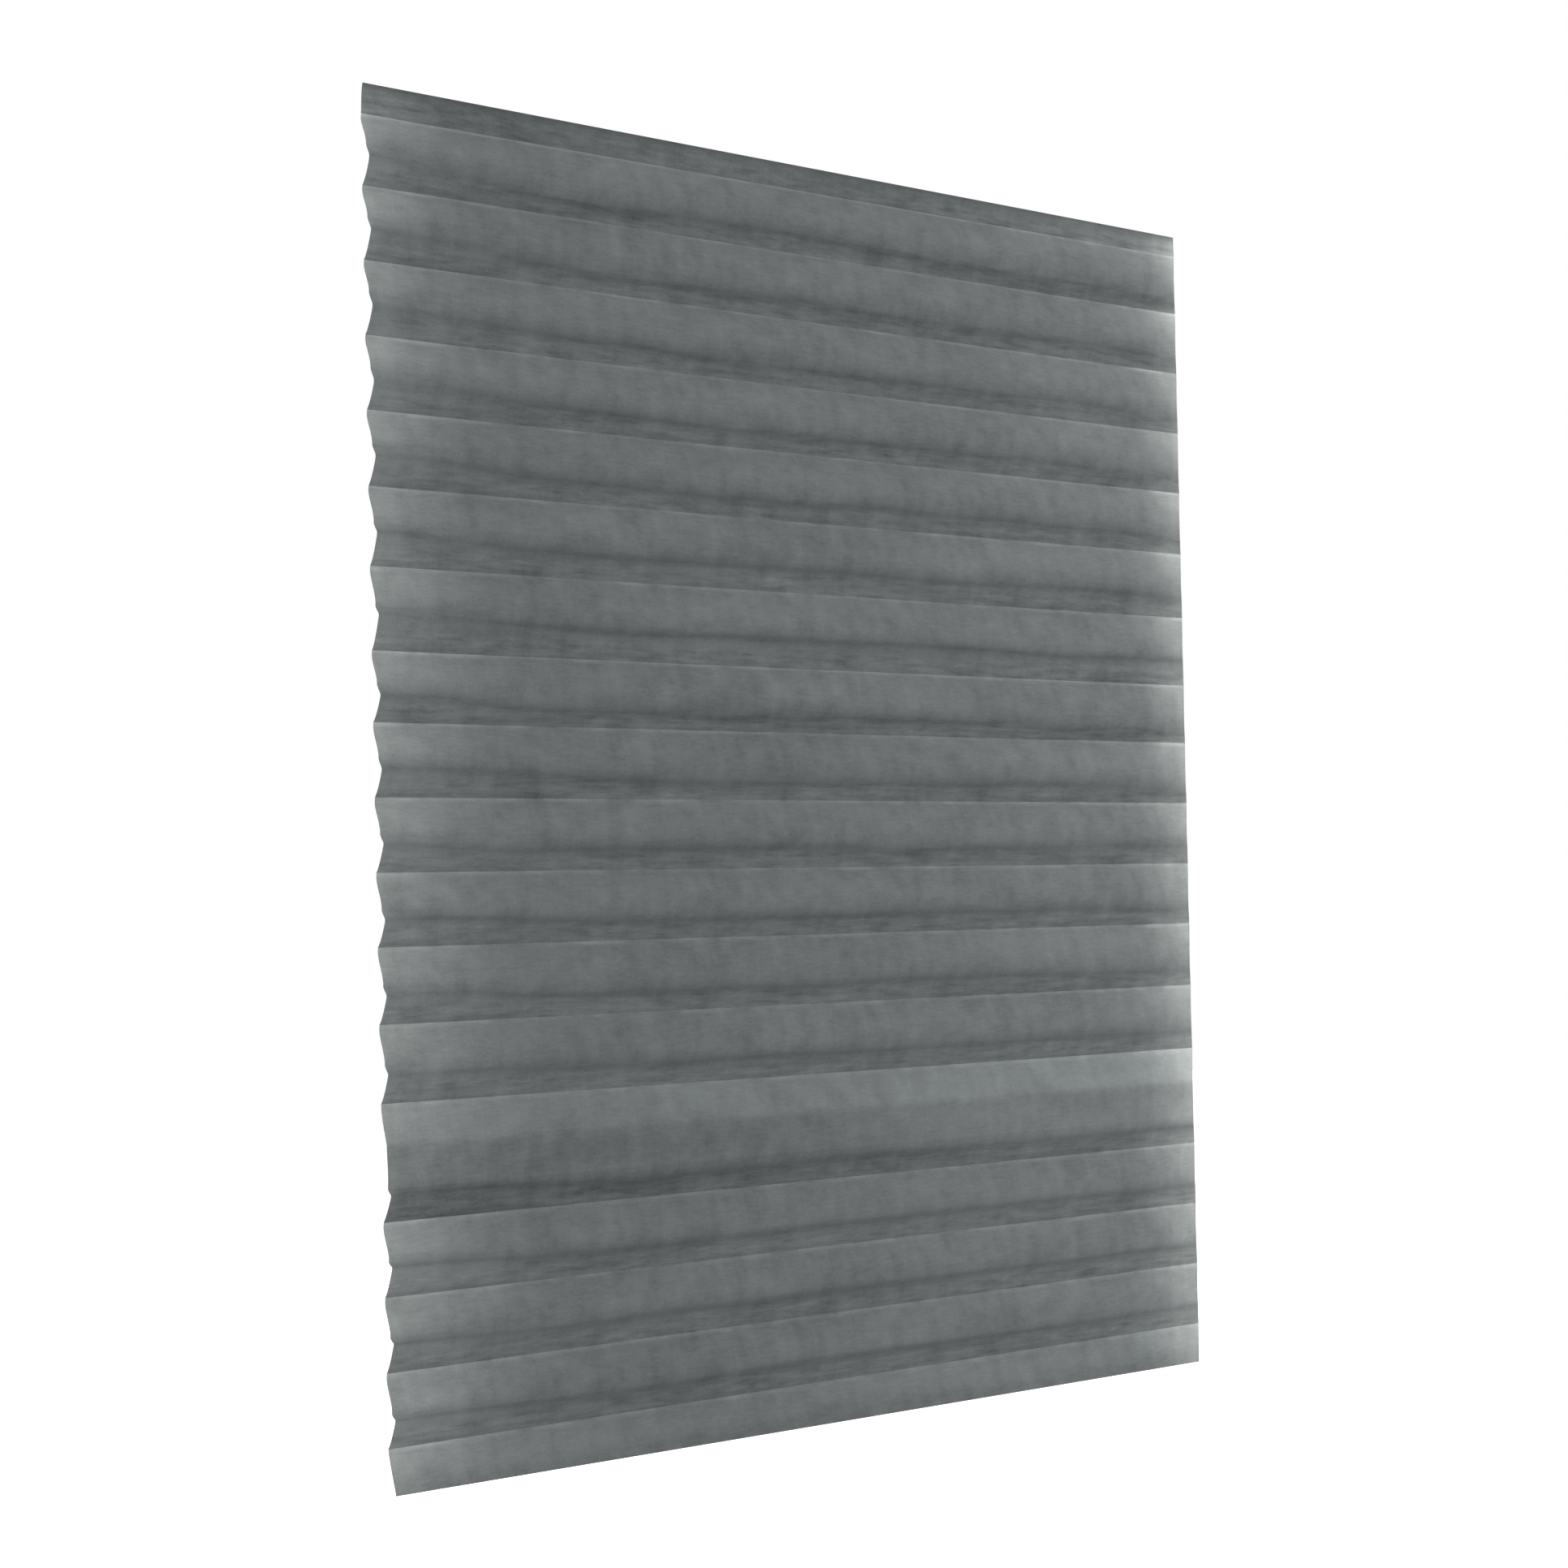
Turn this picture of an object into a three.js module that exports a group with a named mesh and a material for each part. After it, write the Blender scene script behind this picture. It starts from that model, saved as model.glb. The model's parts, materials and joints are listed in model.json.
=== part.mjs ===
// Self-adhesive pleated window shade, let down to its full drop.
// Millimetres, +Z up, the room on the -Y side and the window surface in the plane y = 0.
// The origin is the middle of the glued face of the adhesive tape.
//
// One strip of crease-folded cloth hangs from the tape. Every face between two creases is a
// separate stiff leaf, and neighbouring leaves turn about the crease line that they share.

import * as THREE from 'three';

// Cloth sheet
const clothWidth = 1220;
const clothThickness = 0.6;
const faceDepth = 50;
const creaseRelief = 0.3;

// Top strip, flat on the tape and leaning into the room above it
const topStripFlat = 19;
const topStripLean = 14;
const topStripLeanOut = 7;

// Adhesive tape
const tapeHeight = 17;
const tapeThickness = 1;
const tapeEndInset = 3;
const tapeFootInset = 1;
const tapeClearance = 0.3;

// Pleats. Each hangs open to a share of the flat cloth in it, given here from the top down,
// and its front crease stands out from its back creases by the same amount.
const frontCreaseStandOut = 18.4;
const pleatOpenShares = [
  0.827, 0.86, 0.863, 0.86, 0.878, 0.916, 0.97, 0.821, 0.86, 0.86, 0.854, 0.881, 0.899,
];
const lowerPleatOpenShares = [0.853, 0.857, 0.855];

// The wide pleat between them, whose first crease is pulled out almost flat, so that two faces
// of it hang as one leaf, bowed towards the room along that crease
const widePleatStandOut = 20;
const widePanelDepth = 96.7;
const widePanelBow = 2.6;
const wideReturnDepth = 44.9;

// Last leaf, down to the cut edge
const bottomLeafDepth = 53;
const bottomLeafStandOut = 20.5;

const clothColour = 0x686c6d;
const tapeColour = 0xe4e3dd;

const clothMaterial = () => new THREE.MeshStandardMaterial({
  color: clothColour,
  roughness: 0.95,
  metalness: 0,
});

const tapeMaterial = () => new THREE.MeshStandardMaterial({
  color: tapeColour,
  roughness: 0.6,
  metalness: 0,
});

const part = new THREE.Group();

// The room-side surface of the top strip, in whose plane the back creases lie
const roomSurface = -(tapeThickness + tapeClearance + clothThickness);
const firstCrease = -tapeHeight / 2 - tapeFootInset - creaseRelief;

// A closed prism with its outline in the Y-Z plane, run along X and centred on x = 0
function prism(outline, width) {
  const shape = new THREE.Shape(outline.map(([y, z]) => new THREE.Vector2(y, z)));
  const geometry = new THREE.ExtrudeGeometry(shape, { depth: width, bevelEnabled: false });
  // Shape x, shape y and the run become Y, Z and X
  geometry.applyMatrix4(new THREE.Matrix4().set(
    0, 0, 1, -width / 2,
    1, 0, 0, 0,
    0, 1, 0, 0,
    0, 0, 0, 1,
  ));
  return geometry;
}

function addMesh(name, geometry, material) {
  const mesh = new THREE.Mesh(geometry, material);
  mesh.name = name;
  part.add(mesh);
}

// Adhesive tape, glued to the window surface on one side and to the cloth on the other
function addTape() {
  const outline = [
    [0, -tapeHeight / 2],
    [0, tapeHeight / 2],
    [-tapeThickness, tapeHeight / 2],
    [-tapeThickness, -tapeHeight / 2],
  ];
  addMesh('adhesive_tape', prism(outline, clothWidth - 2 * tapeEndInset), tapeMaterial());
}

// Top strip of the cloth: flat on the tape, then leaning out to its cut edge
function addTopStrip() {
  const back = roomSurface + clothThickness;
  const foot = firstCrease + creaseRelief;
  const knee = foot + topStripFlat;
  const top = knee + topStripLean;
  const outline = [
    [back, foot],
    [back, knee],
    [back - topStripLeanOut, top],
    [roomSurface - topStripLeanOut, top],
    [roomSurface, knee],
    [roomSurface, foot],
  ];
  addMesh('top_strip', prism(outline, clothWidth), clothMaterial());
}

// A flat leaf and a bowed one, each hanging down from z = 0 with its hinge surface at y = 0.
// Both ends stop short of the crease lines, where the next leaf begins.
function flatLeaf(run, side) {
  const geometry = new THREE.BoxGeometry(clothWidth, clothThickness, run - 2 * creaseRelief);
  geometry.translate(0, side * clothThickness / 2, -run / 2);
  return geometry;
}

function bowedLeaf(run, side, bow) {
  const far = side * clothThickness;
  const out = -side * bow;
  const top = -creaseRelief;
  const foot = creaseRelief - run;
  const outline = [
    [0, top],
    [far, top],
    [far + out, -run / 2],
    [far, foot],
    [0, foot],
    [out, -run / 2],
  ];
  return prism(outline, clothWidth);
}

// One leaf of the cloth between two crease lines, in a group that stands on the upper crease.
// A leaf that falls towards the room (side 1) turns about its room-side surface at the upper
// crease and about its window-side surface at the lower one, and a returning leaf (side -1) the
// other way round, so two leaves that close on each other meet face to face and never bite.
function addLeaf(name, crease, tilt, depth, side, bow = 0) {
  const run = Math.sqrt(depth ** 2 - clothThickness ** 2);
  const geometry = bow > 0 ? bowedLeaf(run, side, bow) : flatLeaf(run, side);
  const leaf = new THREE.Mesh(geometry, clothMaterial());
  leaf.name = name;
  leaf.rotation.x = -side * Math.asin(clothThickness / depth);
  const hinge = new THREE.Group();
  hinge.position.set(0, crease.y, crease.z);
  hinge.rotation.x = -side * tilt;
  hinge.add(leaf);
  part.add(hinge);
  return { y: crease.y - side * depth * Math.sin(tilt), z: crease.z - depth * Math.cos(tilt) };
}

// The two leaves of a pleat, as tilt from the vertical and depth from crease to crease
function evenPleat(openShare) {
  const leafHeight = openShare * faceDepth;
  const tilt = Math.atan2(frontCreaseStandOut, leafHeight);
  const depth = Math.hypot(frontCreaseStandOut, leafHeight);
  return { upperTilt: tilt, upperDepth: depth, lowerTilt: tilt, lowerDepth: depth, bow: 0 };
}

const widePleat = {
  upperTilt: Math.asin(widePleatStandOut / widePanelDepth),
  upperDepth: widePanelDepth,
  lowerTilt: Math.asin(widePleatStandOut / wideReturnDepth),
  lowerDepth: wideReturnDepth,
  bow: widePanelBow,
};

const pleats = [
  ...pleatOpenShares.map(evenPleat),
  widePleat,
  ...lowerPleatOpenShares.map(evenPleat),
];

const twoDigits = (count) => String(count).padStart(2, '0');

addTape();
addTopStrip();
let crease = { y: roomSurface, z: firstCrease };
pleats.forEach((pleat, index) => {
  const label = `pleat_${twoDigits(index + 1)}`;
  crease = addLeaf(`${label}_upper`, crease, pleat.upperTilt, pleat.upperDepth, 1, pleat.bow);
  crease = addLeaf(`${label}_lower`, crease, pleat.lowerTilt, pleat.lowerDepth, -1);
});
const bottomLeafTilt = Math.asin(bottomLeafStandOut / bottomLeafDepth);
addLeaf('bottom_leaf', crease, bottomLeafTilt, bottomLeafDepth, 1);

export default part;
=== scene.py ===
import json
import math
import random

import bmesh
import bpy
from mathutils import Matrix, Vector, noise
from mathutils.geometry import interpolate_bezier


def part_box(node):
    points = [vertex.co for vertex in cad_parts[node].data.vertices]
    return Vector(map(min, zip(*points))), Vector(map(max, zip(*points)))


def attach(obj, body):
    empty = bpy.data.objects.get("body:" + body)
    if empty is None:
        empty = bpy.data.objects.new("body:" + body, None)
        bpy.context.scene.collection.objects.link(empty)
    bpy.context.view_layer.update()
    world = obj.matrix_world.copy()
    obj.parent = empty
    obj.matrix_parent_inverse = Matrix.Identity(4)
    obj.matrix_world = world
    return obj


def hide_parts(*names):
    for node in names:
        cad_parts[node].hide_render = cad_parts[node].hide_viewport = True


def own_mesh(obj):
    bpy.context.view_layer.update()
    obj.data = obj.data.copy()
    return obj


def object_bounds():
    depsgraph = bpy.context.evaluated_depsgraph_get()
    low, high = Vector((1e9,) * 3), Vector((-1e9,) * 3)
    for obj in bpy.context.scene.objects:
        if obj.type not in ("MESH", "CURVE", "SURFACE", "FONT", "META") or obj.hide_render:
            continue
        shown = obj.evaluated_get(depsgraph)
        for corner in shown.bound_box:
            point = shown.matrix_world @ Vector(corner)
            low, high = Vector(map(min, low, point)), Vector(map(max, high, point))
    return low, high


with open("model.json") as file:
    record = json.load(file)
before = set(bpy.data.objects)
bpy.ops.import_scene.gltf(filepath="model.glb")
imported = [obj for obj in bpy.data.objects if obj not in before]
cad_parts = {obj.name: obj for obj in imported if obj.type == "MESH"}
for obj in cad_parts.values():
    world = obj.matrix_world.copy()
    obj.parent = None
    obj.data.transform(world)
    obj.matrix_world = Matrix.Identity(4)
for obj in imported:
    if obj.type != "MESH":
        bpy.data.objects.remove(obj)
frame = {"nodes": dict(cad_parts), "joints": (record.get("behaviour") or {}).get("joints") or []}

cad_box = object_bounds()

# Adhesive tape
# A double-sided tape of acrylic foam, cut a little shorter than the cloth is wide. One face is
# pressed on the back of the top strip, and the other is glued to the window frame.
MM = 0.001
TAPE_TONE = "#E2E0D8"
TAPE_SHADOW_TONE = "#D0CDC3"
# The cells of real foam are about a tenth as wide, too fine to show
TAPE_CELL = 2 * MM
TAPE_CELL_RELIEF = 0.1 * MM


def linear(hex_tone):
    """The linear colour, with alpha, of an sRGB hex value."""
    shares = [int(hex_tone[i:i + 2], 16) / 255 for i in (1, 3, 5)]
    return tuple(s / 12.92 if s <= 0.04045 else ((s + 0.055) / 1.055) ** 2.4 for s in shares) + (1.0,)


def new_material(name):
    """A material with an empty node tree."""
    material = bpy.data.materials.new(name)
    material.use_nodes = True
    material.node_tree.nodes.clear()
    return material


def add_node(owner, kind, settings=None, inputs=None):
    """Adds a node to the tree of a material or a world. An input is a value, an output to link,
    or a node whose first output in use is linked."""
    node = owner.node_tree.nodes.new(kind)
    for name, value in (settings or {}).items():
        setattr(node, name, value)
    for key, value in (inputs or {}).items():
        if isinstance(value, bpy.types.Node):
            value = next(output for output in value.outputs if output.enabled)
        if isinstance(value, bpy.types.NodeSocket):
            owner.node_tree.links.new(value, node.inputs[key])
        else:
            node.inputs[key].default_value = value
    return node


def acrylic_foam_tape():
    """Off-white foam with a fine closed-cell grain and a dull tack."""
    material = new_material("Acrylic foam tape")
    place = add_node(material, "ShaderNodeTexCoord").outputs["Object"]
    grain = add_node(material, "ShaderNodeTexNoise", inputs={
        "Vector": place, "Scale": 1 / TAPE_CELL, "Detail": 3.0})
    tone = add_node(material, "ShaderNodeMix", {"data_type": "RGBA"}, {
        "Factor": grain, "A": linear(TAPE_SHADOW_TONE), "B": linear(TAPE_TONE)})
    bump = add_node(material, "ShaderNodeBump", inputs={
        "Strength": 0.4, "Distance": TAPE_CELL_RELIEF, "Height": grain})
    surface = add_node(material, "ShaderNodeBsdfPrincipled", inputs={
        "Base Color": tone, "Roughness": 0.45, "Normal": bump})
    add_node(material, "ShaderNodeOutputMaterial", inputs={"Surface": surface})
    return material


tape = frame["nodes"]["adhesive_tape"]
tape.data.materials.clear()
tape.data.materials.append(acrylic_foam_tape())

# Pleated cloth
# One sheet of nonwoven polyester, pressed into creases about 50 mm apart. The back creases are
# crisp. The front ones have relaxed, so the cloth rolls over softly below each of them.
CLOTH_WIDTH = cad_box[1].x - cad_box[0].x
CLOTH_THICKNESS = 0.4 * MM
CLOTH_DARK_TONE = "#595D5E"
CLOTH_LIGHT_TONE = "#797E7F"
FRONT_CREASE_DEPTH = 18.4 * MM
# Every leaf has the same columns, 5 mm wide, so that neighbours meet all along their crease
COLUMNS = 244
# The right-hand end is cut a little short where the cloth stands out most. Each run is how far
# from its end an uneven cut still moves the cloth.
RIGHT_END_TRIM = 17 * MM
RIGHT_END_TRIM_RUN = 150 * MM
# The left-hand end is cut a little askew: the cloth is widest at its top, and has its true width
# at that share of the drop. The cut also wanders a little on every face.
LEFT_END_ASKEW = 7 * MM
LEFT_END_ASKEW_RUN = 300 * MM
LEFT_END_TRUE_AT = 0.45
LEFT_CUT_RUN = 90 * MM
# Shallow puckers that the cloth keeps between its creases
PUCKER_WIDTH = 42 * MM
PUCKER_LENGTH = 55 * MM
PUCKER_HEIGHT = 0.55 * MM
# Patterns of the felt: the width and length of a cell in millimetres, and the strength. Real
# fibres are about 0.02 mm thick, too fine to show, so they are drawn a hundred times as coarse.
FELT_PATTERNS = {
    "uneven layers": (300, 95, 0.8),
    "clouds": (36, 30, 0.9),
    "upright streaks": (20, 90, 0.65),
    "fibres": (2.2, 3.2, 0.7),
    "bundles of fibres": (17, 3.6, 0.6),
    "press marks": (55, 8, 1.7),
    "breaks in the crease highlight": (65, 70, 2.0),
}
FIBRE_RELIEF = 0.5 * MM
# The share of the way from the dark tone to the light one where the patterns change nothing
MIDDLE_TONE = 0.5
# The press marks lie about a level a little above each back crease: full close to it, and faint
# beyond their reach. The painted highlight is full at the crease and fades down to its reach.
PRESS_MARK_LEVEL = 11 * MM
PRESS_MARK_FULL = 6 * MM
PRESS_MARK_REACH = 22 * MM
PRESS_MARKS_ELSEWHERE = 0.12
CREASE_HIGHLIGHT_FULL = 1.2 * MM
CREASE_HIGHLIGHT_REACH = 8.5 * MM
CREASE_HIGHLIGHT_STRENGTH = 0.3


def waver(seed, amount, longest=0.9, shortest=0.2, count=6):
    """A smooth random function of the place across the cloth, of about that amount either way."""
    rng = random.Random(seed)
    waves = []
    for _ in range(count):
        length = shortest * (longest / shortest) ** rng.random()
        waves.append((2 * math.pi / length, rng.random() * 2 * math.pi, math.sqrt(length / longest)))
    size = math.sqrt(sum(wave[2] ** 2 for wave in waves))
    return lambda x: amount * sum(w[2] * math.sin(w[0] * x + w[1]) for w in waves) / size


def eased(value, low, high):
    """A smooth step from 0 at low to 1 at high."""
    share = min(1.0, max(0.0, (value - low) / (high - low)))
    return share * share * (3 - 2 * share)


def step(angle, length):
    """A step down the cloth, at that many degrees from straight down towards the room."""
    slope = math.radians(angle)
    return Vector((0, -length * math.sin(slope), -length * math.cos(slope)))


def lean_of(drop):
    """The angle, in degrees from straight down towards the room, of a drop between two places."""
    return math.degrees(math.atan2(-drop.y, -drop.z))


def fold(*strands):
    """The points of a fold line made of smooth strands. A strand is its rows, then its start and
    its end, each as a place, the angle at which the cloth passes it and how far it holds that. A
    third of the way between them makes an even curve."""
    points = []
    for rows, (start, start_angle, start_hold), (end, end_angle, end_hold) in strands:
        curve = interpolate_bezier(
            start, start + step(start_angle, start_hold), end - step(end_angle, end_hold), end, rows + 1)
        points += curve[1:] if points else curve
    return points


def new_piece(name, bm):
    """A piece from a finished bmesh, in the scene."""
    mesh = bpy.data.meshes.new(name)
    bm.to_mesh(mesh)
    bm.free()
    piece = bpy.data.objects.new(name, mesh)
    bpy.context.scene.collection.objects.link(piece)
    return piece


def cloth_sheet(name, fold_line, cloth_start, press_at, left_cut=(0.0, 0.0, 0.0)):
    """A grid of cloth whose column at x follows fold_line(x). Its left-hand end is cut short by
    left_cut: at its top, at its foot, and by how much more between them. Its map called cloth is
    in metres of flat cloth. Its map called press holds what press_at(across, length down the
    sheet) gives: how much painted light or shade makes it paler or darker there, and how far below
    a back crease it is."""
    rows = len(fold_line(0.0)) - 1
    cloth_end = CLOTH_WIDTH / 2
    cut_at_top, cut_at_foot, cut_between = left_cut
    bm = bmesh.new()
    bmesh.ops.create_grid(bm, x_segments=COLUMNS, y_segments=rows, size=0.5)
    columns = {}
    for vert in bm.verts:
        columns.setdefault(round((vert.co.x + 0.5) * COLUMNS), []).append(vert)
    place = {}
    for column, verts in columns.items():
        across = (column / COLUMNS - 0.5) * CLOTH_WIDTH
        trim = RIGHT_END_TRIM * eased(across, cloth_end - RIGHT_END_TRIM_RUN, cloth_end) ** 2
        askew = LEFT_END_ASKEW * eased(-across, cloth_end - LEFT_END_ASKEW_RUN, cloth_end)
        at_left = eased(-across, cloth_end - LEFT_CUT_RUN, cloth_end)
        length = 0.0
        verts.sort(key=lambda vert: -vert.co.y)
        points = fold_line(across)
        for row, (vert, point) in enumerate(zip(verts, points)):
            length += (point - points[max(row - 1, 0)]).length
            down = cloth_start + length
            between = math.sin(math.pi * row / rows)
            pucker = noise.noise(Vector((across / PUCKER_WIDTH, down / PUCKER_LENGTH, 0.0)))
            pucker *= PUCKER_HEIGHT * between
            cut = cut_at_top + (cut_at_foot - cut_at_top) * row / rows + cut_between * between
            trimmed = across - trim * max(0.0, -point.y) / FRONT_CREASE_DEPTH
            trimmed += askew * (point.z / cad_box[0].z - LEFT_END_TRUE_AT) + cut * at_left
            vert.co = point + Vector((trimmed, pucker, 0.0))
            place[vert] = (across, length)
    cloth_map = bm.loops.layers.uv.new("cloth")
    press_map = bm.loops.layers.uv.new("press")
    for face in bm.faces:
        face.smooth = True
        for loop in face.loops:
            across, length = place[loop.vert]
            loop[cloth_map].uv = (across, cloth_start + length)
            loop[press_map].uv = press_at(across, length)
    for edge in bm.edges:
        edge.smooth = not edge.is_boundary
    bmesh.ops.recalc_face_normals(bm, faces=bm.faces)
    piece = new_piece(name, bm)
    wall = piece.modifiers.new("Cloth thickness", "SOLIDIFY")
    wall.thickness = CLOTH_THICKNESS
    wall.offset = 0
    return piece


def pressed_nonwoven_polyester():
    """Matte grey fibre felt, with fibres in clouds and faint upright streaks, short level press
    marks beside each back crease, a painted highlight along it, and painted light and shade."""
    material = new_material("Pressed nonwoven polyester")
    cloth_map = add_node(material, "ShaderNodeUVMap", {"uv_map": "cloth"})
    press_map = add_node(material, "ShaderNodeUVMap", {"uv_map": "press"})
    press = add_node(material, "ShaderNodeSeparateXYZ", inputs={"Vector": press_map})
    painted_light_and_shade, below = press.outputs["X"], press.outputs["Y"]
    from_marks = add_node(material, "ShaderNodeMath", {"operation": "ADD"}, {
        0: below, 1: PRESS_MARK_LEVEL})
    off_marks = add_node(material, "ShaderNodeMath", {"operation": "ABSOLUTE"}, {0: from_marks})
    near = add_node(material, "ShaderNodeMapRange", {"interpolation_type": "SMOOTHSTEP"}, {
        "Value": off_marks, "From Min": PRESS_MARK_REACH, "From Max": PRESS_MARK_FULL,
        "To Min": PRESS_MARKS_ELSEWHERE})
    distance = add_node(material, "ShaderNodeMath", {"operation": "ABSOLUTE"}, {0: below})
    crease_highlight_fade = add_node(material, "ShaderNodeMapRange", {"interpolation_type": "SMOOTHSTEP"}, {
        "Value": distance, "From Min": CREASE_HIGHLIGHT_REACH, "From Max": CREASE_HIGHLIGHT_FULL})
    lower_side = add_node(material, "ShaderNodeMath", {"operation": "GREATER_THAN"}, {
        0: below, 1: 0.0})
    # The painted highlight: full at a back crease on its lower side, fading down to its reach
    line = add_node(material, "ShaderNodeMath", {"operation": "MULTIPLY"}, {0: crease_highlight_fade, 1: lower_side})

    patterns = {}
    for name, (width, length, strength) in FELT_PATTERNS.items():
        cells = add_node(material, "ShaderNodeMapping", inputs={
            "Vector": cloth_map, "Scale": (1 / (width * MM), 1 / (length * MM), 1.0)})
        cloud = add_node(material, "ShaderNodeTexNoise", inputs={
            "Vector": cells, "Scale": 1.0, "Detail": 3.0, "Roughness": 0.6})
        patterns[name] = add_node(material, "ShaderNodeMath", {"operation": "MULTIPLY_ADD"}, {
            0: cloud, 1: strength, 2: -strength / 2})
    for name, where in (("press marks", near), ("breaks in the crease highlight", line)):
        patterns[name] = add_node(material, "ShaderNodeMath", {"operation": "MULTIPLY"}, {
            0: patterns[name], 1: where})
    # The painted highlight along each back crease lifts the tone towards the light one
    share = add_node(material, "ShaderNodeMath", {"operation": "MULTIPLY_ADD"}, {
        0: line, 1: CREASE_HIGHLIGHT_STRENGTH, 2: MIDDLE_TONE})
    for pattern in [painted_light_and_shade, *patterns.values()]:
        share = add_node(material, "ShaderNodeMath", {"operation": "ADD"}, {0: share, 1: pattern})

    tone = add_node(material, "ShaderNodeMix", {"data_type": "RGBA", "clamp_factor": False}, {
        "Factor": share, "A": linear(CLOTH_DARK_TONE), "B": linear(CLOTH_LIGHT_TONE)})
    bump = add_node(material, "ShaderNodeBump", inputs={
        "Strength": 0.5, "Distance": FIBRE_RELIEF, "Height": patterns["fibres"]})
    surface = add_node(material, "ShaderNodeBsdfPrincipled", inputs={
        "Base Color": tone, "Roughness": 0.9, "Specular IOR Level": 0.25,
        "Sheen Weight": 0.1, "Sheen Roughness": 0.5, "Normal": bump})
    add_node(material, "ShaderNodeOutputMaterial", inputs={"Surface": surface})
    return material


cloth_material = pressed_nonwoven_polyester()


def dress(piece, node, body):
    """Gives a finished stretch of cloth its material and its body, which says what it hangs from, and
    hides the CAD node it stands in for."""
    piece.data.materials.append(cloth_material)
    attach(piece, body)
    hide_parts(node)


# Top strip
# The first, narrow face of the cloth, stuck on the tape. Above the tape it curls towards the
# room up to its cut edge, which runs a little askew.
STRIP_LENGTH = 35 * MM
STRIP_TOP_DEPTH = 8.9 * MM
STRIP_TOP_ASKEW = 8 * MM
# The curl along the cut edge, then the angles of the strip, in degrees, from there down, how far
# it holds them, and how much it wavers
STRIP_CURL = 3.5 * MM
STRIP_CURL_ANGLE = -34
STRIP_LEAN = -30
STRIP_FOOT_ANGLE = -9
STRIP_CURL_HOLD = 1 * MM
STRIP_HOLD = 6 * MM
STRIP_FOOT_HOLD = 8 * MM
STRIP_WAVE = 2.5
STRIP_CURL_ROWS = 3
STRIP_ROWS = 12
# It is painted darker than the rest as painted shade, most of all at the left-hand end
STRIP_PAINTED_SHADE = -0.12
STRIP_PAINTED_SHADE_FADE_TO_RIGHT = 0.45
# The crease that each leaf hangs from, from the top down
creases = [Vector(joint["pos_m"]) for joint in frame["joints"]]
strip_wave = waver("strip", STRIP_WAVE)


def strip_line(x):
    """The fold line of the top strip, from its cut edge down to the first crease."""
    askew = STRIP_TOP_ASKEW * (x / CLOTH_WIDTH + 0.5)
    edge = Vector((0, -STRIP_TOP_DEPTH, cad_box[1].z - askew))
    curl = edge + step(STRIP_CURL_ANGLE, STRIP_CURL)
    lean = STRIP_LEAN + strip_wave(x)
    foot = creases[0]
    return fold(
        (STRIP_CURL_ROWS, (edge, STRIP_CURL_ANGLE, STRIP_CURL_HOLD),
         (curl, STRIP_LEAN, STRIP_CURL_HOLD)),
        (STRIP_ROWS, (curl, lean, STRIP_HOLD), (foot, STRIP_FOOT_ANGLE, STRIP_FOOT_HOLD)))


def strip_press(across, length):
    """How much painted shade darkens the strip, and how far below its crease: all of it lies above."""
    return STRIP_PAINTED_SHADE + STRIP_PAINTED_SHADE_FADE_TO_RIGHT * across / CLOTH_WIDTH, length - STRIP_LENGTH


strip = cloth_sheet("cloth_top_strip", strip_line, 0.0, strip_press)
dress(strip, "top_strip", "root")

# Leaves between the creases
# Each is the stretch of cloth from one crease to the next, and turns about both. Upper leaves
# fall towards the room from a crisp back crease. Lower ones roll over and come back to the next.
LIP = 4.5 * MM
# The share of its angle that this lip, which the press leaves below a back crease, has at its foot
LIP_RELAXES_TO = 0.73
# How far the cloth holds its angle below the lip, above and below the front crease, at the belly
# and above the next back crease
LEAF_HOLD = 10 * MM
CREST_HOLD = 14 * MM
ROLL_HOLD = 9 * MM
BELLY_HOLD = 6 * MM
RETURN_HOLD = 8 * MM
# The most that the holds below the front crease and at the belly may be of the way between them
ROLL_HOLD_SHARE = 0.6
BELLY_HOLD_SHARE = 0.4
# The rows of the lip, of the rest of an upper leaf, of each half of the wide panel below its lip,
# and of a lower leaf down to its belly and below it
LIP_ROWS = 2
UPPER_ROWS = 12
WIDE_PANEL_ROWS = 9
ROLL_ROWS = 9
RETURN_ROWS = 8
# How far the left-hand end is cut short at the top and at the foot of a leaf, and how much more
# between them
UPPER_LEFT_CUT = (0.0, -1.6 * MM, -1.2 * MM)
LOWER_LEFT_CUT = (-1.6 * MM, 0.0, 4.6 * MM)
# The shape of a fold at some distances from the left-hand end: the angle at which it leaves its
# back crease, the angle at its front crease, how far down and how deep the belly of its lower
# face is, the belly's angle, and the angle at which the face comes back to the next crease.
# Angles are in degrees, and the belly's place is in shares of the lower face.
FOLD_SHAPES = [
    (0, (19, -14, 0.3, 0.73, -28, -32)),
    (45 * MM, (23, -13, 0.31, 0.72, -29, -34)),
    (110 * MM, (35, -8, 0.36, 0.67, -33, -34)),
    (180 * MM, (44, -1, 0.43, 0.59, -43, -22)),
    (280 * MM, (48, 1, 0.47, 0.53, -52, -12)),
    (600 * MM, (48, 1, 0.47, 0.53, -52, -12)),
    (1040 * MM, (40, 5, 0.48, 0.64, -42, -28)),
    (1220 * MM, (27, 14, 0.53, 0.68, -37, -30)),
]
# How much each of those values changes at random across the cloth
FOLD_CHANGE = (1.5, 2.5, 0.03, 0.03, 4, 3)
# How much further down the belly of each pleat sits than in that shape, as a share of its way
# down, and how many degrees the angle at the front crease turns for a whole such share
BELLY_DROPS = (
    0.2, 0.16, 0.1, 0.1, 0.04, -0.12, -0.32, 0.16, 0.04, -0.04, -0.04, -0.04, -0.1, -0.14, -0.22,
    -0.28, -0.28)
CREST_TURN = 25
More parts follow.
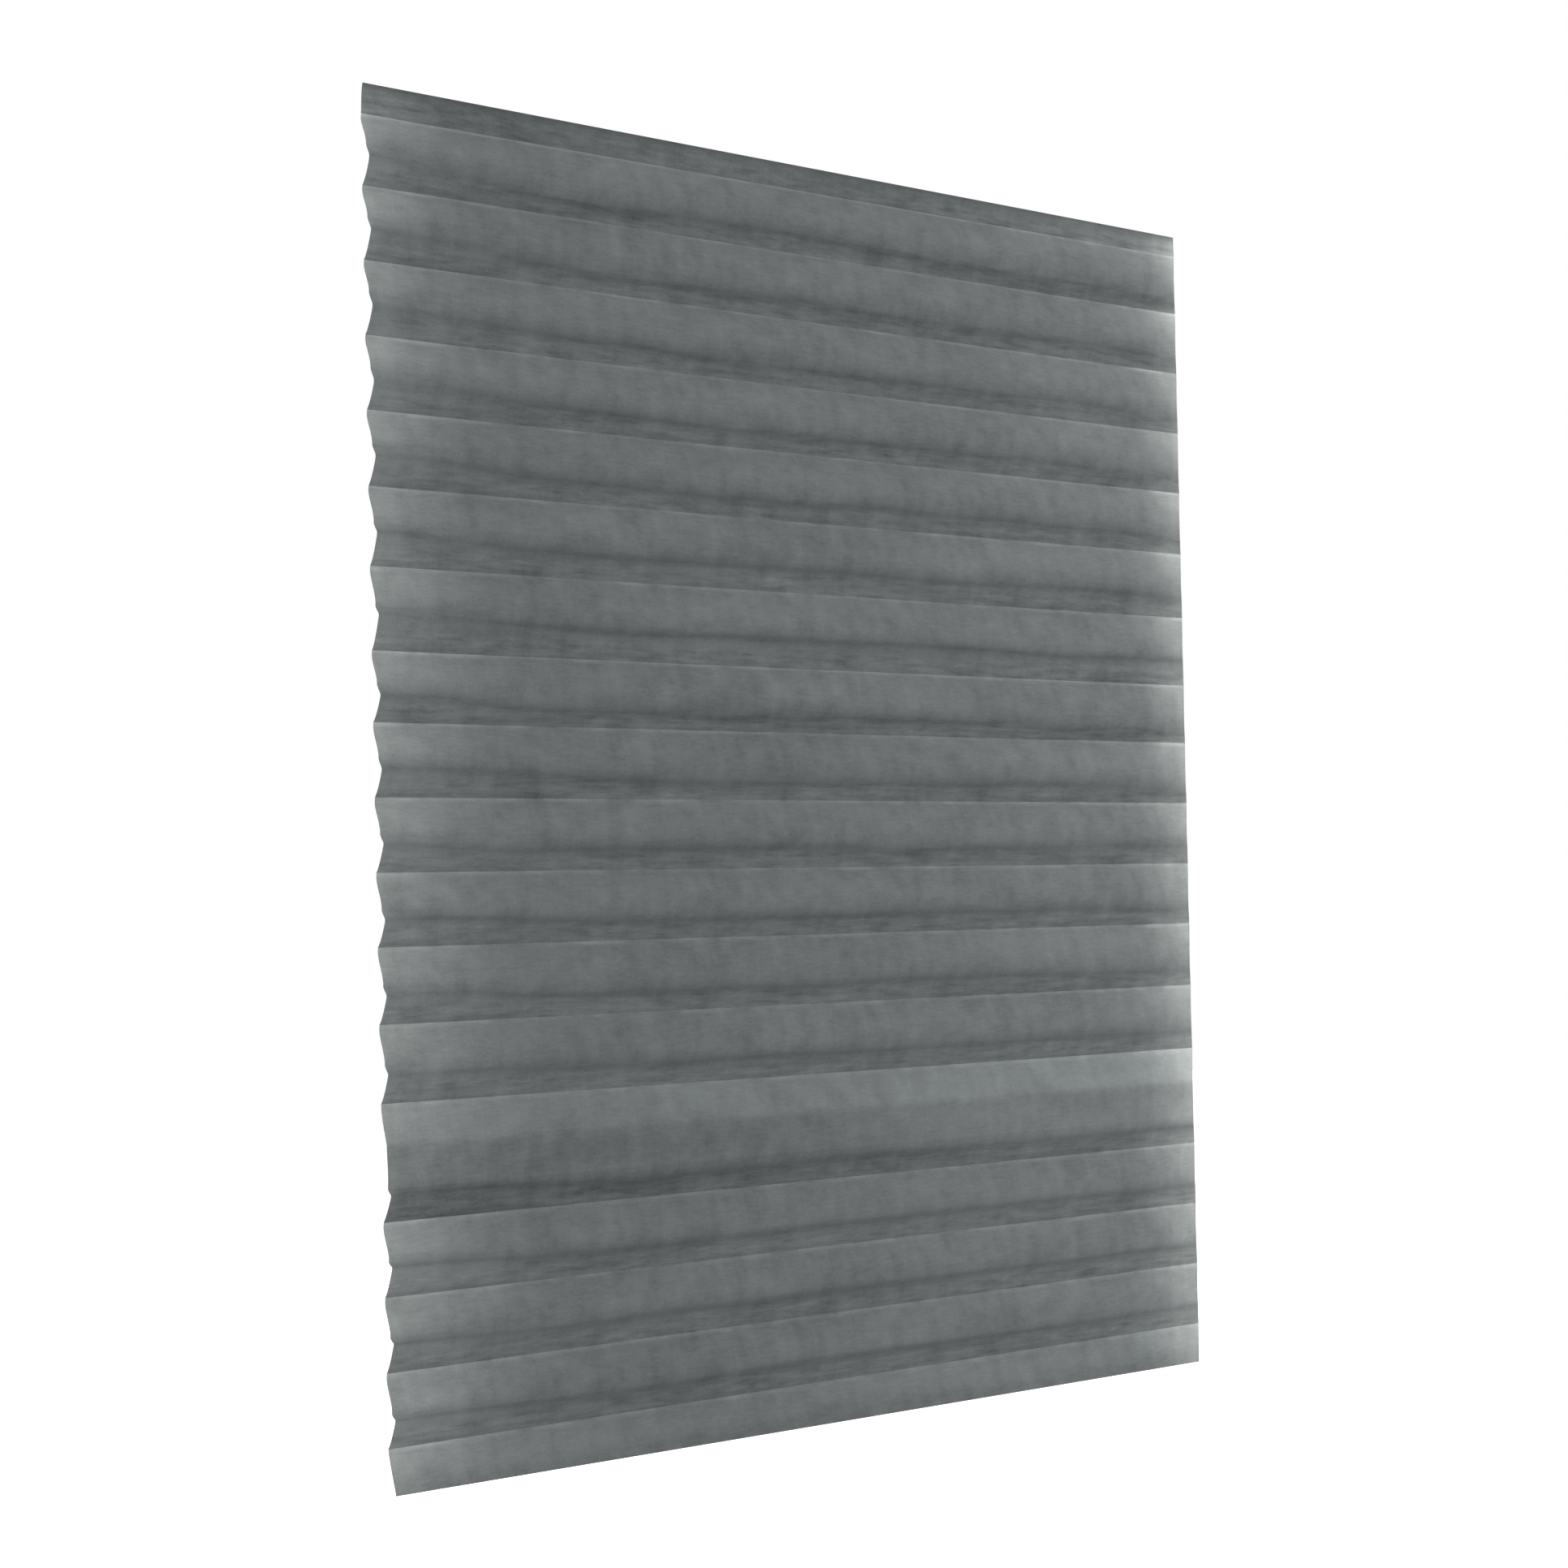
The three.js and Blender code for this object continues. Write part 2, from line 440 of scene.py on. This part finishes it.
# Two of the back creases have a painted highlight on the lip just below them
LIPS_WITH_PAINTED_HIGHLIGHT = ("pleat_01_upper", "pleat_08_upper")
LIP_PAINTED_HIGHLIGHT = 0.35
# A lower leaf is that much longer than the straight way between its creases
LOWER_LEAF_SLACK = 1.04
# The wide pleat has painted light that grows to the right. Its panel is two faces, of which the first is
# painted paler as light, and its lower leaf is painted darker as shade.
# The fold between them, pulled out nearly flat, has its place below the crease and the angles at
# which the cloth comes to it and leaves it.
WIDE_PLEAT = "pleat_14"
WIDE_PLEAT_PAINTED_LIGHT_TO_RIGHT = 0.6
WIDE_PANEL_PAINTED_LIGHT = 0.34
WIDE_PANEL_PAINTED_LIGHT_DOWN_TO = (42 * MM, 59 * MM)
WIDE_RETURN_PAINTED_SHADE = -0.14
WIDE_PANEL_FOLD = Vector((0, -20.5 * MM, -45 * MM))
WIDE_PANEL_FOLD_ANGLES = (26, -2)
WIDE_PANEL_FOLD_HOLD = 6 * MM


def fold_shape_of(name, belly_drop=0.0):
    """The shape of the fold of that name, as a function of the place across the cloth."""
    changes = [waver(f"{name} {number}", amount) for number, amount in enumerate(FOLD_CHANGE)]

    def shape(x):
        values = [middle + change(x) for middle, change in zip(FOLD_SHAPES[0][1], changes)]
        for (near, before), (far, after) in zip(FOLD_SHAPES, FOLD_SHAPES[1:]):
            share = eased(x + CLOTH_WIDTH / 2, near, far)
            values = [value + share * (b - a) for value, a, b in zip(values, before, after)]
        lip_angle, crest_angle, down, *others = values
        return [lip_angle, crest_angle + CREST_TURN * belly_drop, down * (1 + belly_drop), *others]

    return shape


def lip_below(start, angle):
    """The strand of the narrow lip that a back crease leaves below it, then its end and the angle
    there."""
    end_angle = angle * LIP_RELAXES_TO
    lip_end = start + step((angle + end_angle) / 2, LIP)
    return (LIP_ROWS, (start, angle, LIP / 3), (lip_end, end_angle, LIP / 3)), lip_end, end_angle


def upper_line(start, end, shape, is_wide):
    """The fold line of a leaf that falls from a back crease to a front one."""
    middle = start + WIDE_PANEL_FOLD
    above, below = WIDE_PANEL_FOLD_ANGLES

    def line(x):
        lip_angle, crest_angle = shape(x)[:2]
        lip, lip_end, leaf_angle = lip_below(start, lip_angle)
        crest = (end, crest_angle, CREST_HOLD)
        if not is_wide:
            return fold(lip, (UPPER_ROWS, (lip_end, leaf_angle, LEAF_HOLD), crest))
        return fold(
            lip,
            (WIDE_PANEL_ROWS, (lip_end, leaf_angle, LEAF_HOLD), (middle, above, WIDE_PANEL_FOLD_HOLD)),
            (WIDE_PANEL_ROWS, (middle, below, WIDE_PANEL_FOLD_HOLD), crest))

    return line


def lower_line(start, end, shape):
    """The fold line of a leaf that rolls over below a front crease and comes back."""
    def line(x):
        crest_angle, down, deep, belly_angle, return_angle = shape(x)[1:]
        belly = Vector((0, end.y - (end.y - start.y) * deep, start.z - (start.z - end.z) * down))
        way = (belly - start).length
        roll_hold = min(ROLL_HOLD, ROLL_HOLD_SHARE * way)
        belly_hold = min(BELLY_HOLD, BELLY_HOLD_SHARE * way)
        return fold(
            (ROLL_ROWS, (start, crest_angle, roll_hold), (belly, belly_angle, belly_hold)),
            (RETURN_ROWS, (belly, belly_angle, belly_hold), (end, return_angle, RETURN_HOLD)))

    return line


def upper_press(name):
    """The press map of an upper leaf, which lies below its back crease."""
    def press_at(across, length):
        painted_light_and_shade = 0
        if name.startswith(WIDE_PLEAT):
            painted_light_and_shade = WIDE_PANEL_PAINTED_LIGHT * (1 - eased(length, *WIDE_PANEL_PAINTED_LIGHT_DOWN_TO))
            painted_light_and_shade += WIDE_PLEAT_PAINTED_LIGHT_TO_RIGHT * across / CLOTH_WIDTH
        # A painted highlight on the lip below two of the back creases
        if name in LIPS_WITH_PAINTED_HIGHLIGHT:
            painted_light_and_shade += LIP_PAINTED_HIGHLIGHT * max(0, 1 - length / LIP)
        return painted_light_and_shade, length

    return press_at


def lower_press(name, chord):
    """The press map of a lower leaf, which lies above its back crease."""
    def press_at(across, length):
        painted_light_and_shade = 0
        if name.startswith(WIDE_PLEAT):
            painted_light_and_shade = WIDE_RETURN_PAINTED_SHADE + WIDE_PLEAT_PAINTED_LIGHT_TO_RIGHT * across / CLOTH_WIDTH
        return painted_light_and_shade, min(0, length - LOWER_LEAF_SLACK * chord)

    return press_at


cloth_length = STRIP_LENGTH
for joint, start, end in zip(frame["joints"], creases, creases[1:]):
    name = joint["child"]
    flat_length = (end - start).length
    if name.endswith("upper"):
        shape = fold_shape_of(name, BELLY_DROPS[int(name.split("_")[1]) - 1])
        line = upper_line(start, end, shape, name.startswith(WIDE_PLEAT))
        press_at, left_cut = upper_press(name), UPPER_LEFT_CUT
    else:
        line = lower_line(start, end, shape)
        press_at, left_cut = lower_press(name, flat_length), LOWER_LEFT_CUT
    piece = cloth_sheet("cloth_" + name, line, cloth_length, press_at, left_cut)
    dress(piece, name, name)
    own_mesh(piece)
    cloth_length += flat_length

# Bottom leaf
# The last face, which hangs from the lowest back crease to the cut edge of the cloth. The edge
# turns down a little where the knife has drawn it.
BOTTOM_EDGE_TURN = 3.5 * MM
# The angle of the way down this turn, and the angle at the edge itself, in degrees
BOTTOM_EDGE_TURN_LEAN = 4
BOTTOM_EDGE_ANGLE = -8
# How far its angle at the turn is from the straight way there, in degrees, and how much it wavers
BOTTOM_LEAF_BOW = -2
BOTTOM_WAVE = 2.5
BOTTOM_ROWS = 11
BOTTOM_EDGE_ROWS = 3
# It is painted paler than the rest below the crease as painted light, and painted shade darkens it
# between those shares of its depth
BOTTOM_LEAF_PAINTED_LIGHT = 0.2
BOTTOM_LEAF_PAINTED_SHADE_TO_EDGE = -0.34
BOTTOM_LEAF_PAINTED_SHADE_BETWEEN = (0.4, 0.9)
bottom_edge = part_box("bottom_leaf")[0]
bottom_edge.x = 0
bottom_wave = waver("bottom", BOTTOM_WAVE)
bottom_shape = fold_shape_of("bottom leaf")


def bottom_line(x):
    """The fold line of the last leaf, down to its cut edge."""
    lip, lip_end, leaf_angle = lip_below(creases[-1], bottom_shape(x)[0])
    turn = bottom_edge - step(BOTTOM_EDGE_TURN_LEAN, BOTTOM_EDGE_TURN)
    lean = lean_of(turn - lip_end)
    foot_angle = lean + BOTTOM_LEAF_BOW + bottom_wave(x)
    edge_hold = BOTTOM_EDGE_TURN / 3
    return fold(
        lip,
        (BOTTOM_ROWS, (lip_end, leaf_angle, LEAF_HOLD), (turn, foot_angle, LEAF_HOLD)),
        (BOTTOM_EDGE_ROWS, (turn, lean / 2, edge_hold), (bottom_edge, BOTTOM_EDGE_ANGLE, edge_hold)))


bottom_length = (bottom_edge - creases[-1]).length


def bottom_press(across, length):
    """How much painted light and shade change the last leaf's tone, and how far below its crease."""
    towards_edge = eased(length, *(share * bottom_length for share in BOTTOM_LEAF_PAINTED_SHADE_BETWEEN))
    return BOTTOM_LEAF_PAINTED_LIGHT + BOTTOM_LEAF_PAINTED_SHADE_TO_EDGE * towards_edge, length


bottom = cloth_sheet("cloth_bottom_leaf", bottom_line, cloth_length, bottom_press)
dress(bottom, "bottom_leaf", "bottom_leaf")
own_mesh(bottom)

# Floor
# A plain pale studio floor below the shade. To the camera it is as white as the backdrop, and
# it keeps the shade's soft shadow.
FLOOR_DROP = 0.35
FLOOR_SIZE = 14.0
FLOOR_TONE = "#DCDCDC"
FLOOR_WHITENING = 0.8
WHITE = linear("#FFFFFF")


def background_rays(owner):
    """Tells whether a ray is one that should find a white background."""
    ray = add_node(owner, "ShaderNodeLightPath")
    mirrored = add_node(owner, "ShaderNodeMath", {"operation": "MAXIMUM"}, {
        0: ray.outputs["Is Glossy Ray"], 1: ray.outputs["Is Transmission Ray"]})
    return add_node(owner, "ShaderNodeMath", {"operation": "MAXIMUM"}, {
        0: ray.outputs["Is Camera Ray"], 1: mirrored})


floor_bm = bmesh.new()
bmesh.ops.create_grid(floor_bm, x_segments=1, y_segments=1, size=FLOOR_SIZE / 2)
bmesh.ops.translate(floor_bm, verts=floor_bm.verts, vec=(0, 0, cad_box[0].z - FLOOR_DROP))
floor = new_piece("floor", floor_bm)
matte_white = new_material("Matte white studio floor")
paint = add_node(matte_white, "ShaderNodeBsdfDiffuse", inputs={"Color": linear(FLOOR_TONE)})
whitening = add_node(matte_white, "ShaderNodeEmission", inputs={
    "Color": WHITE, "Strength": FLOOR_WHITENING})
whitened = add_node(matte_white, "ShaderNodeAddShader", inputs={0: paint, 1: whitening})
floor_surface = add_node(matte_white, "ShaderNodeMixShader", inputs={
    "Fac": background_rays(matte_white), 1: paint, 2: whitened})
add_node(matte_white, "ShaderNodeOutputMaterial", inputs={"Surface": floor_surface})
floor.data.materials.append(matte_white)

# Light
# A white surround, a broad soft lamp above the room side and a weaker one on the window side.
# Tall slim lamps with honeycomb grids face the ends of the shade, so those catch more light.
AMBIENT = 0.42
END_LAMP_TONE = "#FFFCF5"
END_LAMP_HEIGHT = 2.4
END_LAMP_DISTANCE = (0.85, -1.2)
world = bpy.data.worlds.new("Studio surround")
bpy.context.scene.world = world
world.use_nodes = True
world.node_tree.nodes.clear()
surround = add_node(world, "ShaderNodeBackground", inputs={"Color": WHITE, "Strength": AMBIENT})
backdrop = add_node(world, "ShaderNodeBackground", inputs={"Color": WHITE, "Strength": 1.0})
sky = add_node(world, "ShaderNodeMixShader", inputs={
    "Fac": background_rays(world), 1: surround, 2: backdrop})
add_node(world, "ShaderNodeOutputWorld", inputs={"Surface": sky})


def soft_lamp(name, place, target, size, power, beam=math.pi, tone="#FFFFFF"):
    """A rectangular lamp of that width and height, which faces its target and isn't seen itself."""
    lamp = bpy.data.lights.new(name, "AREA")
    lamp.color = linear(tone)[:3]
    lamp.shape = "RECTANGLE"
    lamp.spread = beam
    lamp.size, lamp.size_y = size
    lamp.energy = power
    holder = bpy.data.objects.new(name, lamp)
    bpy.context.scene.collection.objects.link(holder)
    holder.location = place
    holder.rotation_euler = (Vector(target) - Vector(place)).to_track_quat("-Z", "Y").to_euler()
    holder.visible_camera = False


centre = (cad_box[0] + cad_box[1]) / 2
soft_lamp("key lamp", place=(3.6, -5.2, 4.1), target=(3.1, -4.4, -2.0), size=(5.0, 3.0), power=470.0)
soft_lamp("window side lamp", place=(0.4, 2.6, 1.6), target=centre, size=(2.5, 1.6), power=90.0)
# Each end lamp: the end it faces, how far beyond that end it aims, its rise, width, power and beam
for name, end, beyond, rise, width, power, beam in (
        ("left end lamp", cad_box[0].x, 0.12, 1.03, 0.15, 2.85, 12),
        ("right end lamp", cad_box[1].x, 0.045, 0.7, 0.06, 2.2, 7.8),
        ("right end fill lamp", cad_box[1].x, 0.0, 1.1, 0.2, 0.8, 24)):
    aim = Vector((end + math.copysign(beyond, end), centre.y, centre.z))
    outwards = math.copysign(END_LAMP_DISTANCE[0], end)
    soft_lamp(name, aim + Vector((outwards, END_LAMP_DISTANCE[1], rise)), aim,
              (width, END_LAMP_HEIGHT), power, math.radians(beam), END_LAMP_TONE)

# Camera
# At the photograph's place: level with the middle of the shade, to its left, with a slight roll.
CAMERA_PLACE = (-1.4961, -2.3672, -0.9182)
CAMERA_YAW = math.radians(-31.161)
CAMERA_PITCH = math.radians(1.118)
CAMERA_ROLL = math.radians(-1.136)
lens = bpy.data.cameras.new("camera")
lens.lens = 50
lens.sensor_width = 36
lens.shift_y = 0.045
camera = bpy.data.objects.new("camera", lens)
bpy.context.scene.collection.objects.link(camera)
camera.matrix_world = (
    Matrix.Translation(CAMERA_PLACE)
    @ Matrix.Rotation(CAMERA_YAW, 4, "Z")
    @ Matrix.Rotation(math.pi / 2 + CAMERA_PITCH, 4, "X")
    @ Matrix.Rotation(CAMERA_ROLL, 4, "Z"))
bpy.context.scene.camera = camera
bpy.context.scene.view_settings.view_transform = "Standard"
